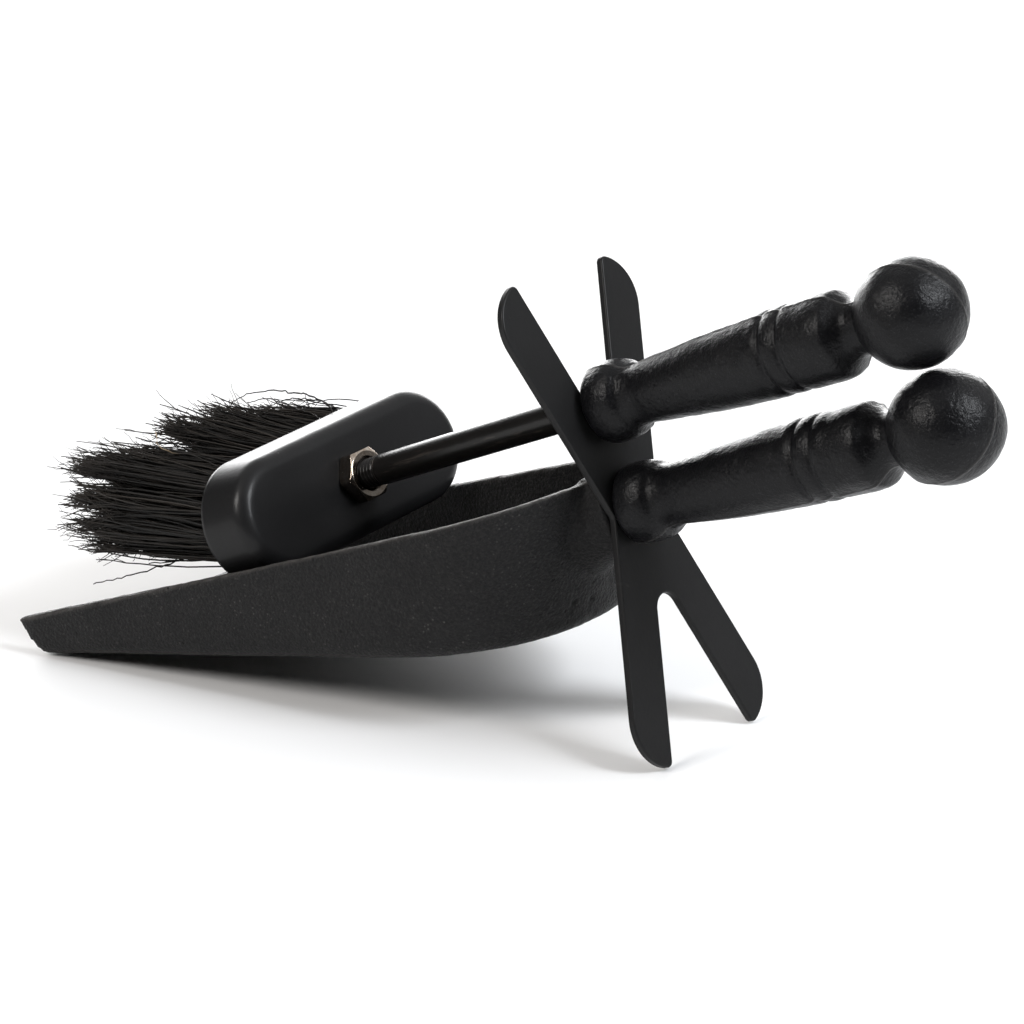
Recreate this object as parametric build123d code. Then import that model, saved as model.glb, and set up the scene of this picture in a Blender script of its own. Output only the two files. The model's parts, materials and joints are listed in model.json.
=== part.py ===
from build123d import *
import math
import os

# Hearth tidy: a cast ash pan and a hearth brush carried together on an X-shaped stand plate.
# All sizes in millimetres.  The pieces are drawn in the plate's frame and then turned into the
# standing pose:
#   x  along the pan's handle, 0 at the plate's handle-side face, + towards the handle
#   y  across the pan, 0 on the centre plane
#   z  up along the plate, 0 on the pan handle's axis

# ---- stand plate ----
PLATE_T = 2.5
PLATE_MID_Z = -1.0           # centre of the plate's outline
LEG_W = 15.6
LEG_DEG = 19.5               # half angle of each V
LEG_CROSS = 7.4              # the centre lines of each V meet this far past the middle
PLATE_HALF_H = 75.4          # to the ends of the legs before their inner corners are rounded
TIP_R = 13.8                 # big round on the outer side of each leg end
TIP_CORNER_R = 2.0           # small round on the inner side of each leg end
NOTCH_R = 5.4                # round bottom of both V notches
WAIST_R = 3.0
PLATE_EDGE_R = 0.6

# ---- threads and rod ----
ROD_R = 5.0
THREAD_R = 4.9
THREAD_PITCH = 1.5
THREAD_DEPTH = 0.6
PLATE_HOLE_R = 5.2

# ---- cast handle ----
COLLAR_R = 12.7
COLLAR_L = 12.6
NECK_R = 9.5
GRIP_R = 13.2
GRIP_END = 93.4
TIP_NECK_R = 8.2
BALL_X = 114.5
PAN_BALL_R = 16.6
BRUSH_BALL_R = 16.05
HANDLE_BORE = 18.0
GROOVE_X = (69.5, 76.0)      # ring grooves near the top of the grip
GROOVE_W = 2.4
GROOVE_DEPTH = 0.8

# ---- pan ----
WALL_T = 3.4
FLOOR_T = 3.6
RIM_BACK_X = -7.5
RIM_FRONT_X = -210.5
RIM_HALF_W = 43.0            # half width at the back, before the sides splay out
RIM_SPLAY = 0.1185
RIM_ROUND = 50.0             # length over which the back closes
RIM_POWER = 3.0
RIM_Z = 10.9
RIM_SLOPE = -0.043
BASE_BACK_X = -29.5
BASE_FRONT_X = -206.0
BASE_HALF_W = 42.7
BASE_SPLAY = 0.1283
BASE_ROUND = 45.0
BASE_POWER = 2.3
BASE_Z = -38.1
BASE_SLOPE = -0.212
BASE_EDGE_R = 5.0
BOSS_R = 12.8
BOSS_MID_X = -14.5           # the flare is taller than it is wide here
BOSS_MID_W = 14.8
BOSS_MID_H = 16.4
BOSS_FLARE_R = 17.5
BOSS_L = 24.0
BOSS_RISE = 1.2              # flat top of the boss above the rim
STUD_IN_PAN = 11.5

# ---- brush ----
BRUSH_Z = 31.9               # rod axis above the pan handle's axis, at the plate
BRUSH_PITCH_DEG = 0.55       # handle end up
BRUSH_ROLL_DEG = 3.8         # loose turn of the head about the rod
COLLAR_GAP = 0.6             # brush collar to plate
CAP_FACE_X = -107.9          # outer face of the pressed cap
CAP_HALF_L = 52.7
CAP_HALF_T = 18.6
CAP_DEPTH = 18.3
CAP_FLARE = 1.9
CAP_WALL = 1.0
CAP_EDGE_R = 3.5
NUT_AF = 16.0
LOCKNUT_T = 6.0
INNER_NUT_T = 5.0
WASHER_R = 9.8
WASHER_T = 1.6
CORE_GAP = 0.15
CORE_RECESS = 0.8
POCKET_R = 10.6
POCKET_DEPTH = 9.4

# ---- bristle tufts ----
TUFT_ROWS = 4
TUFT_COLUMNS = 11
ROW_PITCH = 7.4
COLUMN_PITCH = 8.6
TUFT_ROOT_R = 2.55
TUFT_TIP_R = 4.2
TUFT_DEPTH = 6.2
TUFT_L = 69.0
TUFT_RISE = 22.0             # set of the fibres, towards the top
RISE_FALL = 0.2              # each clump's set falls off along y by this much per mm
PART_Y = -4.0                # the bristles part into two clumps here
PART_GAP = 2.5
FAN_Y = 0.06
FAN_Z = 0.45


def in_brush(shape):
    """Place a piece drawn on the rod axis into the plate's frame."""
    seat = Pos(0, 0, BRUSH_Z) * Rot(0, -BRUSH_PITCH_DEG, 0) * Rot(BRUSH_ROLL_DEG, 0, 0)
    return seat * shape


def rod_x(radius, x_from, x_to):
    """Round bar along the x axis."""
    plane = Plane(origin=(x_from, 0, 0), x_dir=(0, 1, 0), z_dir=(1, 0, 0))
    return extrude(plane * Circle(radius), x_to - x_from)


def turned(points):
    """Solid of revolution about x from (x, r) profile points joined by straight lines."""
    line = Polyline([(x, r, 0) for x, r in points], close=True)
    return revolve(make_face(line), Axis.X)


# ---------------------------------------------------------------- stand plate
def leg_outline():
    """One leg of the plate, long enough to pass the tip, pointing along +z."""
    angle = math.radians(LEG_DEG)
    start = (0.0, PLATE_MID_Z - LEG_CROSS)
    side = (LEG_W / 2 * math.cos(angle), -LEG_W / 2 * math.sin(angle))
    run = PLATE_HALF_H + LEG_CROSS + 20
    tip = (start[0] + run * math.tan(angle), start[1] + run)
    return [
        (start[0] - side[0], start[1] - side[1]),
        (start[0] + side[0], start[1] + side[1]),
        (tip[0] + side[0], tip[1] + side[1]),
        (tip[0] - side[0], tip[1] - side[1]),
    ]


def tip_trim():
    """Area kept at the end of a leg: everything inside the big tip round."""
    angle = math.radians(LEG_DEG)
    top = PLATE_MID_Z + PLATE_HALF_H
    centre_z = top - TIP_R
    outer = (centre_z - PLATE_MID_Z + LEG_CROSS) * math.tan(angle) + LEG_W / 2 / math.cos(angle)
    centre_y = outer - TIP_R / math.cos(angle)
    below = Pos(0, centre_z - 100) * Rectangle(200, 200 - 2 * TIP_R * math.sin(angle))
    inside = Pos(centre_y / 2, centre_z) * Rectangle(abs(centre_y), 2 * TIP_R)
    return below + inside + Pos(centre_y, centre_z) * Circle(TIP_R)


def plate_sketch():
    leg = make_face(Polyline(leg_outline(), close=True)) & tip_trim()
    upper = leg + mirror(leg, Plane.YZ)
    centre = Pos(0, PLATE_MID_Z) * Rectangle(2 * LEG_CROSS, 2 * LEG_CROSS)
    upper = upper + centre
    lower = Pos(0, 2 * PLATE_MID_Z) * mirror(upper, Plane.XZ)
    sketch = upper + lower
    return sketch


def notch_points(sketch):
    """Vertices to round: notch bottoms, waist corners and the inner tip corners."""
    notch = []
    waist = []
    tips = []
    for vertex in sketch.vertices():
        height = abs(vertex.Y - PLATE_MID_Z)
        if abs(vertex.X) < 0.01 and 10 < height < 30:
            notch.append(vertex)
        elif height < 1.0 and abs(vertex.X) > 5:
            waist.append(vertex)
        elif height > PLATE_HALF_H - 4.0 and abs(vertex.X) < 26:
            tips.append(vertex)
    return notch, waist, tips


def stand_plate():
    sketch = plate_sketch()
    notch, waist, tips = notch_points(sketch)
    sketch = fillet(notch, NOTCH_R)
    notch, waist, tips = notch_points(sketch)
    sketch = fillet(waist, WAIST_R)
    notch, waist, tips = notch_points(sketch)
    sketch = fillet(tips, TIP_CORNER_R)
    sketch = sketch - Circle(PLATE_HOLE_R)
    plane = Plane(origin=(-PLATE_T, 0, 0), x_dir=(0, 1, 0), z_dir=(1, 0, 0))
    plate = extrude(plane * sketch, PLATE_T)
    faces = plate.faces().sort_by(Axis.X)
    edges = [edge for face in (faces[0], faces[-1]) for edge in face.outer_wire().edges()]
    return fillet(edges, PLATE_EDGE_R)


# ---------------------------------------------------------------- pan
def closing(distance, length, power):
    """Width factor of the rounded back, 0 at the very back and 1 past `length`."""
    if distance >= length:
        return 1.0
    return (1 - (1 - distance / length) ** power) ** (1 / power)


def pan_outline(back_x, front_x, half_w, splay, length, power, inset, z_mid, slope, lift, front):
    """Closed plan outline lying on the sloping plane z = z_mid + slope * x + lift."""
    back = back_x - inset
    near = []
    steps = [0.0, 0.02, 0.07, 0.15, 0.27, 0.43, 0.62, 0.85, 1.2]
    reach = back - front_x - front
    distances = [length * step for step in steps] + [reach * step for step in (0.5, 0.75, 1.0)]
    for distance in distances:
        half = (half_w - inset + splay * distance) * closing(distance, length - inset, power)
        x = back - distance
        near.append((x, -half, z_mid + slope * x + lift))
    far = [(x, -y, z) for x, y, z in near[1:]]
    points = near[::-1] + far
    side = Spline(points)
    lip = Line(points[-1], points[0])
    return make_face([side, lip])


def rim_outline(inset, lift, front=0.0):
    return pan_outline(RIM_BACK_X, RIM_FRONT_X, RIM_HALF_W, RIM_SPLAY, RIM_ROUND, RIM_POWER,
                       inset, RIM_Z, RIM_SLOPE, lift, front)


def base_outline(inset, lift, front=0.0):
    return pan_outline(BASE_BACK_X, BASE_FRONT_X, BASE_HALF_W, BASE_SPLAY, BASE_ROUND, BASE_POWER,
                       inset, BASE_Z, BASE_SLOPE, lift, front)


def soften_base(body):
    """Round the long edge where the walls meet the floor."""
    floor = [face for face in body.faces() if face.normal_at(face.center()).Z < -0.8][0]
    return fillet(floor.edges().sort_by(Axis.X)[-1], BASE_EDGE_R)


def boss():
    """Flared boss between the plate and the back of the pan, flat on top just above the rim."""
    rings = []
    for x, half_w, half_h in ((-PLATE_T, BOSS_R, BOSS_R), (BOSS_MID_X, BOSS_MID_W, BOSS_MID_H),
                              (-BOSS_L, BOSS_FLARE_R, BOSS_FLARE_R)):
        plane = Plane(origin=(x, 0, 0), x_dir=(0, 1, 0), z_dir=(-1, 0, 0))
        rings.append(plane * Ellipse(half_w, half_h))
    flare = loft(rings)
    top = RIM_Z + BOSS_RISE
    trim = Pos(0, 0, top) * Rot(0, math.degrees(math.atan(-RIM_SLOPE)), 0) * Pos(0, 0, 25)
    return flare - trim * Box(100, 80, 50)


def shovel_pan():
    """Cast pan with a rounded back, open lip and a flared boss that carries the plate."""
    outer = soften_base(loft([base_outline(0, 0), rim_outline(0, 0)]))
    inner = loft([base_outline(WALL_T, FLOOR_T, -12), rim_outline(WALL_T, BOSS_RISE + 1.0, -12)])
    inner = soften_base(inner)
    pan = outer + boss() - inner
    pan = pan - rod_x(THREAD_R, -PLATE_T - STUD_IN_PAN, 0)
    return pan


# ---------------------------------------------------------------- handles
def grip_profile():
    """Half section of a cast handle from the collar to the widest part of the grip."""
    edge = 4.2
    collar = [
        (0.0, COLLAR_R - edge * 0.55),
        (edge * 0.35, COLLAR_R - edge * 0.12),
        (edge, COLLAR_R),
        (COLLAR_L - edge * 1.1, COLLAR_R - 0.1),
        (COLLAR_L - edge * 0.3, COLLAR_R - edge * 0.25),
        (COLLAR_L + 0.6, COLLAR_R - edge * 0.62),
    ]
    grip = [(17.0, NECK_R), (22.0, NECK_R + 0.5), (34.0, NECK_R + 1.65), (48.0, NECK_R + 2.75)]
    grip = grip + [(60.0, NECK_R + 3.25), (66.0, NECK_R + 3.35)]
    return collar + grip


def cast_handle(ball_r):
    bottom = grip_profile()
    shoulder = [(82.0, GRIP_R - 0.1), (88.0, GRIP_R), (91.5, GRIP_R - 0.6), (GRIP_END, GRIP_R - 2.4)]
    neck = [(GRIP_END + 2.2, TIP_NECK_R + 0.6), (GRIP_END + 3.8, TIP_NECK_R)]
    neck_end = BALL_X - math.sqrt(ball_r ** 2 - TIP_NECK_R ** 2)
    curve = Spline([(x, r, 0) for x, r in bottom + shoulder + neck])
    start = (0, 0, 0)
    first = (bottom[0][0], bottom[0][1], 0)
    last = (neck[-1][0], neck[-1][1], 0)
    end = (neck_end + 1.0, TIP_NECK_R, 0)
    axis_end = (neck_end + 1.0, 0, 0)
    outline = [curve, Line(start, first), Line(last, end), Line(end, axis_end), Line(axis_end, start)]
    body = revolve(make_face(outline), Axis.X)
    body = body + Pos(BALL_X, 0, 0) * Sphere(ball_r)
    for x in GROOVE_X:
        ring = turned([(x - GROOVE_W / 2, 20), (x - GROOVE_W / 2, GRIP_R - 0.1),
                       (x, GRIP_R - 0.1 - GROOVE_DEPTH), (x + GROOVE_W / 2, GRIP_R - 0.1),
                       (x + GROOVE_W / 2, 20)])
        body = body - ring
    return body - rod_x(THREAD_R, -1, HANDLE_BORE)


def shovel_stud():
    return rod_x(THREAD_R, -PLATE_T - STUD_IN_PAN + 0.5, HANDLE_BORE - 2.0)


# ---------------------------------------------------------------- brush
def stadium(half_l, half_t, x):
    plane = Plane(origin=(x, 0, 0), x_dir=(0, 1, 0), z_dir=(1, 0, 0))
    return plane * SlotOverall(2 * half_l, 2 * half_t)


def hex_nut(x_from, thickness):
    """Chamfered hexagon nut on the x axis, its bore at the thread radius."""
    plane = Plane(origin=(x_from, 0, 0), x_dir=(0, 1, 0), z_dir=(1, 0, 0))
    corner = NUT_AF / math.sqrt(3)
    blank = extrude(plane * RegularPolygon(corner, 6), thickness)
    low = NUT_AF / 2 - 0.3
    run = (corner + 0.2 - low) * math.tan(math.radians(30))
    x_to = x_from + thickness
    envelope = turned([(x_from, 0), (x_from, low), (x_from + run, corner + 0.2),
                       (x_to - run, corner + 0.2), (x_to, low), (x_to, 0)])
    return (blank & envelope) - rod_x(THREAD_R, x_from - 1, x_to + 1)


def brush_handle():
    return Pos(COLLAR_GAP, 0, 0) * cast_handle(BRUSH_BALL_R)


def brush_shaft():
    """Rod with a threaded end through the cap and a threaded end in the handle."""
    thread_top = CAP_FACE_X + LOCKNUT_T + 5.6
    rod_end = CAP_FACE_X - CAP_WALL - WASHER_T - INNER_NUT_T - 1.5
    shaft = rod_x(ROD_R, thread_top, COLLAR_GAP)
    shaft = shaft + rod_x(THREAD_R, COLLAR_GAP, COLLAR_GAP + HANDLE_BORE - 2.0)
    shaft = shaft + rod_x(THREAD_R, rod_end, thread_top)
    for turn in range(4):
        x = CAP_FACE_X + LOCKNUT_T + THREAD_PITCH * (turn + 0.5)
        groove = turned([(x - 0.55, 6), (x - 0.55, THREAD_R), (x, THREAD_R - THREAD_DEPTH),
                         (x + 0.55, THREAD_R), (x + 0.55, 6)])
        shaft = shaft - groove
    return shaft


def brush_locknut():
    return hex_nut(CAP_FACE_X, LOCKNUT_T)


def brush_inner_washer():
    x_to = CAP_FACE_X - CAP_WALL
    return rod_x(WASHER_R, x_to - WASHER_T, x_to) - rod_x(THREAD_R + 0.1, x_to - 5, x_to + 5)


def brush_inner_nut():
    return hex_nut(CAP_FACE_X - CAP_WALL - WASHER_T - INNER_NUT_T, INNER_NUT_T)


def brush_ferrule():
    """Pressed cap: flat face for the rod, flared skirt around the core."""
    mouth_x = CAP_FACE_X - CAP_DEPTH
    outer = loft([stadium(CAP_HALF_L + CAP_FLARE, CAP_HALF_T + CAP_FLARE, mouth_x),
                  stadium(CAP_HALF_L, CAP_HALF_T, CAP_FACE_X)])
    outer = fillet(outer.faces().sort_by(Axis.X)[-1].edges(), CAP_EDGE_R)
    inner = loft([stadium(CAP_HALF_L + CAP_FLARE - CAP_WALL + 0.1,
                          CAP_HALF_T + CAP_FLARE - CAP_WALL + 0.1, mouth_x - 1),
                  stadium(CAP_HALF_L - CAP_WALL, CAP_HALF_T - CAP_WALL, CAP_FACE_X - CAP_WALL)])
    inner = fillet(inner.faces().sort_by(Axis.X)[-1].edges(), CAP_EDGE_R - CAP_WALL)
    cap = outer - inner
    return cap - rod_x(ROD_R + 0.2, CAP_FACE_X - 5, CAP_FACE_X + 5)


def tuft_spots():
    """Root position of every tuft, row by row, kept inside the stadium of the core."""
    rows = []
    limit_l = CAP_HALF_L - CAP_WALL - TUFT_ROOT_R - 1.6
    limit_t = CAP_HALF_T - CAP_WALL - TUFT_ROOT_R - 1.6
    for row in range(TUFT_ROWS):
        z = (row - (TUFT_ROWS - 1) / 2) * ROW_PITCH
        shift = COLUMN_PITCH / 4 * (-1) ** row
        spots = []
        for column in range(TUFT_COLUMNS + 2):
            y = (column - (TUFT_COLUMNS + 1) / 2) * COLUMN_PITCH + shift
            over = max(abs(y) - (limit_l - limit_t), 0)
            if math.hypot(over, z) <= limit_t:
                spots.append((y, z))
        rows.append(spots)
    return rows


def brush_core():
    """Wooden block glued in the cap, pocketed for the inner nut, drilled for the tufts."""
    top_x = CAP_FACE_X - CAP_WALL
    end_x = CAP_FACE_X - CAP_DEPTH + CORE_RECESS
    top_inset = CAP_WALL + CORE_GAP
    grow = CAP_FLARE * (top_x - end_x) / CAP_DEPTH
    core = loft([stadium(CAP_HALF_L - top_inset + grow, CAP_HALF_T - top_inset + grow, end_x),
                 stadium(CAP_HALF_L - top_inset, CAP_HALF_T - top_inset, top_x)])
    core = chamfer(core.faces().sort_by(Axis.X)[-1].edges(), CAP_EDGE_R - CAP_WALL)
    core = core - rod_x(POCKET_R, top_x - POCKET_DEPTH, top_x + 1)
    for row in tuft_spots():
        for y, z in row:
            core = core - Pos(0, y, z) * rod_x(TUFT_ROOT_R + 0.05, end_x - 1, end_x + TUFT_DEPTH)
    return core


def tuft_tip(y, z):
    """The y and z of a tuft's tip: two clumps, each swept up and falling off along y."""
    far = y > PART_Y
    clump_start = PART_Y if far else -CAP_HALF_L + 5.0
    rise = TUFT_RISE - RISE_FALL * (y - clump_start)
    lean = PART_GAP if far else -PART_GAP
    return y * (1 + FAN_Y) + lean, z * (1 + FAN_Z) + rise


def tuft(y, z):
    """One bundle of fibres: a straight root and a body that rises and fans out."""
    end_x = CAP_FACE_X - CAP_DEPTH + CORE_RECESS
    root = Pos(0, y, z) * rod_x(TUFT_ROOT_R, end_x - 0.6, end_x + TUFT_DEPTH - 0.1)
    start = Vector(end_x - 0.6, y, z)
    length = TUFT_L - 3.0 * math.cos(0.9 * y) - 2.0 * math.sin(0.7 * z + 0.13 * y)
    tip_y, tip_z = tuft_tip(y, z)
    tip = Vector(end_x - length, tip_y, tip_z)
    across = (0, 1, 0)
    root_ring = Plane(origin=start, x_dir=across, z_dir=(-1, 0, 0)) * Circle(TUFT_ROOT_R)
    tip_ring = Plane(origin=tip, x_dir=across, z_dir=(-1, 0, 0)) * Circle(TUFT_TIP_R)
    return root + loft([root_ring, tip_ring])


def bristle_row(row):
    return Compound(children=[tuft(y, z) for y, z in tuft_spots()[row]])


# ---------------------------------------------------------------- assembly
def stance_angle(plate):
    """Tilt that puts the pan's lip and the plate's feet on one floor, in degrees."""
    lip_z = BASE_Z + BASE_SLOPE * BASE_FRONT_X
    foot_z = plate.bounding_box().min.Z
    return math.degrees(math.atan2(lip_z - foot_z, -PLATE_T - BASE_FRONT_X))


def pieces():
    shovel = {
        "shovel_pan": shovel_pan(),
        "stand_plate": stand_plate(),
        "shovel_stud": shovel_stud(),
        "shovel_handle": cast_handle(PAN_BALL_R),
    }
    brush = {
        "brush_handle": brush_handle(),
        "brush_shaft": brush_shaft(),
        "brush_locknut": brush_locknut(),
        "brush_ferrule": brush_ferrule(),
        "brush_inner_washer": brush_inner_washer(),
        "brush_inner_nut": brush_inner_nut(),
        "brush_core": brush_core(),
    }
    for row in range(TUFT_ROWS):
        brush["bristle_row_%d" % (row + 1)] = bristle_row(row)
    stance = Rot(0, -stance_angle(shovel["stand_plate"]), 0)
    placed = {name: stance * shape for name, shape in shovel.items()}
    placed.update({name: stance * in_brush(shape) for name, shape in brush.items()})
    return placed


def main():
    os.makedirs("parts", exist_ok=True)
    placed = pieces()
    boxes = [shape.bounding_box() for shape in placed.values()]
    low = [min(tuple(box.min)[axis] for box in boxes) for axis in range(3)]
    high = [max(tuple(box.max)[axis] for box in boxes) for axis in range(3)]
    shift = Pos(-(low[0] + high[0]) / 2, -(low[1] + high[1]) / 2, -low[2])
    for name, shape in placed.items():
        export_step(shift * shape, "parts/%s.step" % name)
        print(name, round(shape.volume, 1))
    print("low", low, "high", high)


main()
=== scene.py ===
import itertools
import json
import math

import bpy
import numpy as np
from mathutils import Matrix, Vector


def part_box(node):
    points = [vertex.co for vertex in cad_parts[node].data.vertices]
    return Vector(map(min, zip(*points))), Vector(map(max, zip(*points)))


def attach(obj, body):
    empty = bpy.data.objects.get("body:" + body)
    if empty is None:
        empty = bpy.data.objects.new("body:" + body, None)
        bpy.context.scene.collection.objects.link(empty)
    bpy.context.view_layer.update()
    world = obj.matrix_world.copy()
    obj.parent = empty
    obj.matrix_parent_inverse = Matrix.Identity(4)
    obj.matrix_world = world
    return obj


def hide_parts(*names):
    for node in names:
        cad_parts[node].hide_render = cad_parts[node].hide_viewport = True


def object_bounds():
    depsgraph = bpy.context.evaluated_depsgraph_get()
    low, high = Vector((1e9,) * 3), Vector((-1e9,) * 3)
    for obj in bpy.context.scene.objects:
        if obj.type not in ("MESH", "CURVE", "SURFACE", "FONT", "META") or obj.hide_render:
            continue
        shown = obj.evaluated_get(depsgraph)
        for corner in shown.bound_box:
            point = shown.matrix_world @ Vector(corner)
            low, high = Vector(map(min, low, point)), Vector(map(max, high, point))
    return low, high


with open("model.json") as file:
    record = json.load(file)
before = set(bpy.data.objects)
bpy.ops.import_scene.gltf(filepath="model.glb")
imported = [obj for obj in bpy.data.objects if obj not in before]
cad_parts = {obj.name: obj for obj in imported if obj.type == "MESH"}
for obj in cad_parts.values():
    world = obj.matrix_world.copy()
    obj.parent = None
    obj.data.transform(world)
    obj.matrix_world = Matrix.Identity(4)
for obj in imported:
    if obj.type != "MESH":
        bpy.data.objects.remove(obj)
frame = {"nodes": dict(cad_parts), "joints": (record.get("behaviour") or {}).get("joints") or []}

cad_low, cad_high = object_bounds()
MM = 0.001
TURN = 2 * math.pi

# ------------------------------------------------------------------ sizes, in mm
# Tool frame: x along the pan's handle from the plate's face, y across, z up along the plate.
PLATE_T = 2.5
PLATE_CENTRE = (-PLATE_T / 2, 0.0, -1.0)
BRUSH_Z = 31.9
BRUSH_PITCH_DEG = 0.55
BRUSH_ROLL_DEG = 3.8
# handles
COLLAR_GAP = 0.6                # from the plate's face to the brush handle's collar
COLLAR_R, COLLAR_L, COLLAR_EDGE = 12.7, 12.6, 4.2
NECK_R, GRIP_R, GRIP_END, TIP_NECK_R, BALL_X = 9.5, 13.2, 93.4, 8.2, 114.5
PAN_BALL_R, BRUSH_BALL_R = 16.6, 16.05
HANDLE_BORE, HANDLE_COLS = 18.0, 200
MOULD_STEP, MOULD_SHIFT = 0.55, 0.7    # the mould's far half: how much thinner, how far along x
SEAM_W, SEAM_H = 0.42, 0.20
# pan
RIM_Z, RIM_SLOPE = 10.9, -0.043
PAN_VOXEL, PAN_SOFTENING, PAN_SOFTENINGS = 1.0, 0.5, 2
LIP_REACH, LIP_START_X, LIP_RUN = 2.0, -120, 70
PIT_FRONT_X = -34               # the pits are all behind this
# rod, nuts and cap
THREAD_R, THREAD_H, THREAD_PITCH = 4.9, 0.82, 1.5
ROD_R, ROD_COLS = 5.0, 72
THREAD_SHOWN, THREAD_SPARE = 5.6, 1.5  # past the locknut, and past the inner nut
WASHER_T, INNER_NUT_T = 1.6, 5.0
CAP_X, CAP_HALF_L, CAP_HALF_T, CAP_DEPTH = -107.9, 52.7, 18.6, 18.3
CAP_FLARE, CAP_WALL, CAP_EDGE_R, CAP_COLS = 1.9, 1.0, 4.6, 240
CAP_HOLE_R, MOUTH_ROUND = 5.2, 0.35
NUT_AF, NUT_T, NUT_CHAMFER_DEG, NUT_COLS = 16.0, 6.0, 30, 288
# bristles
CORE_X = CAP_X - CAP_DEPTH + 0.8
ROW_PITCH, COLUMN_PITCH, COLUMNS = 7.4, 8.6, 11
TUFT_ROOT_R, TUFT_INSET = 2.4, 4.15
TUFT_L, TUFT_RISE, FAN_Y, FAN_Z = 65.0, 22.0, 0.06, 0.45
PART_Y, PART_GAP = -4.0, 2.5
FIBRES_PER_TUFT, FIBRE_POINTS, LOCKS_PER_TUFT, LOOSE_SHARE = 72, 11, 6, 0.38
SIDES = 3                       # of each fibre's tube

# ------------------------------------------------------------------ frames
lift = Vector(frame["joints"][0]["axis"])
TILT = -math.atan2(-lift.x, lift.z)
tilt = Matrix.Rotation(TILT, 4, "Y")
plate_low, plate_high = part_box("stand_plate")
origin = (plate_low + plate_high) / 2 - tilt @ (Vector(PLATE_CENTRE) * MM)
TOOL = Matrix.Translation(origin) @ tilt
BRUSH = (TOOL @ Matrix.Translation((0, 0, BRUSH_Z * MM))
         @ Matrix.Rotation(-math.radians(BRUSH_PITCH_DEG), 4, "Y")
         @ Matrix.Rotation(math.radians(BRUSH_ROLL_DEG), 4, "X"))


# ------------------------------------------------------------------ mesh helpers
NOISE_SLOPES = 256              # in the noise's table
NOISE_SHIFT = 512.37            # keeps every cell's number above 0
NOISE_GAIN = 1.7


def lumps(points, size, seed):
    """Smooth noise from about -1 to 1 at each point, with features of that size."""
    rng = np.random.default_rng(seed)
    slopes = rng.normal(size=(NOISE_SLOPES, 3))
    slopes /= np.linalg.norm(slopes, axis=1)[:, None]
    mix = rng.permutation(NOISE_SLOPES)
    at = points / size + NOISE_SHIFT
    cell = np.floor(at).astype(int)
    part = at - cell
    ease = part ** 3 * (part * (part * 6 - 15) + 10)
    total = np.zeros(len(points))
    for corner in itertools.product((0, 1), repeat=3):
        there = cell + corner
        pick = there[:, 0] * 0
        for axis in range(3):
            pick = mix[(pick + there[:, axis]) % NOISE_SLOPES]
        share = np.prod(np.where(corner, ease, 1 - ease), axis=1)
        total += share * (slopes[pick] * (part - corner)).sum(1)
    return total * NOISE_GAIN


def smooth_curve(points, step):
    """Catmull-Rom curve through the points, sampled about every step."""
    pts = np.array(points, float)
    pts = np.vstack([2 * pts[0] - pts[1], pts, 2 * pts[-1] - pts[-2]])
    out = []
    for a, b, c, d in zip(pts[:-3], pts[1:-2], pts[2:-1], pts[3:]):
        ta = math.sqrt(np.linalg.norm(b - a)) + 1e-9
        tb = ta + math.sqrt(np.linalg.norm(c - b)) + 1e-9
        tc = tb + math.sqrt(np.linalg.norm(d - c)) + 1e-9
        count = max(2, int(np.linalg.norm(c - b) / step))
        for t in np.linspace(ta, tb, count, endpoint=False):
            ab = (a * (ta - t) + b * t) / ta
            bc = (b * (tb - t) + c * (t - ta)) / (tb - ta)
            cd = (c * (tc - t) + d * (t - tb)) / (tc - tb)
            left = (ab * (tb - t) + bc * t) / tb
            right = (bc * (tc - t) + cd * (t - ta)) / (tc - ta)
            out.append((left * (tb - t) + right * (t - ta)) / (tb - ta))
    out.append(pts[-2])
    return np.array(out)


def even(path, step):
    """The same path with its points an even step apart."""
    path = np.array(path, float)
    run = np.r_[0, np.cumsum(np.linalg.norm(np.diff(path, axis=0), axis=1))]
    at = np.linspace(0, run[-1], max(2, int(run[-1] / step) + 1))
    return np.stack([np.interp(at, run, path[:, k]) for k in range(path.shape[1])], axis=1)


def lattice(rings, wrap=False):
    """Vertices and quads of a stack of closed rings; wrap joins the last ring to the first."""
    rows, cols = rings.shape[:2]
    last = rows if wrap else rows - 1
    i, j = np.meshgrid(np.arange(last), np.arange(cols), indexing="ij")
    up, side = (i + 1) % rows, (j + 1) % cols
    quads = np.stack([i * cols + j, i * cols + side, up * cols + side, up * cols + j], axis=-1)
    return rings.reshape(-1, 3), quads.reshape(-1, 4)


def piece(name, verts, faces, place, material, body, nodes, sharp=None):
    """A mesh object from millimetre points, riding on a body and standing for CAD nodes."""
    mesh = bpy.data.meshes.new(name)
    mesh.from_pydata((np.asarray(verts) * MM).tolist(), [], [list(face) for face in faces])
    mesh.transform(place)
    mesh.update()
    made = bpy.data.objects.new(name, mesh)
    bpy.context.scene.collection.objects.link(made)
    mesh.shade_smooth()
    if sharp:
        mesh.set_sharp_from_angle(angle=math.radians(sharp))
    mesh.materials.append(material)
    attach(made, body)
    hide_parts(*nodes)
    return made


def store(made, name, values):
    """Keep one number per vertex for the material to read."""
    layer = made.data.attributes.new(name, "FLOAT", "POINT")
    layer.data.foreach_set("value", np.asarray(values, np.float32))


def polar(profile, cols):
    """Rings about the x axis from (x, r) rows, and the angle of each column."""
    angle = np.arange(cols) / cols * TURN
    rings = np.zeros((len(profile), cols, 3))
    rings[:, :, 0] = profile[:, 0, None]
    rings[:, :, 1] = profile[:, 1, None] * np.cos(angle)
    rings[:, :, 2] = profile[:, 1, None] * np.sin(angle)
    return rings, angle


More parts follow.
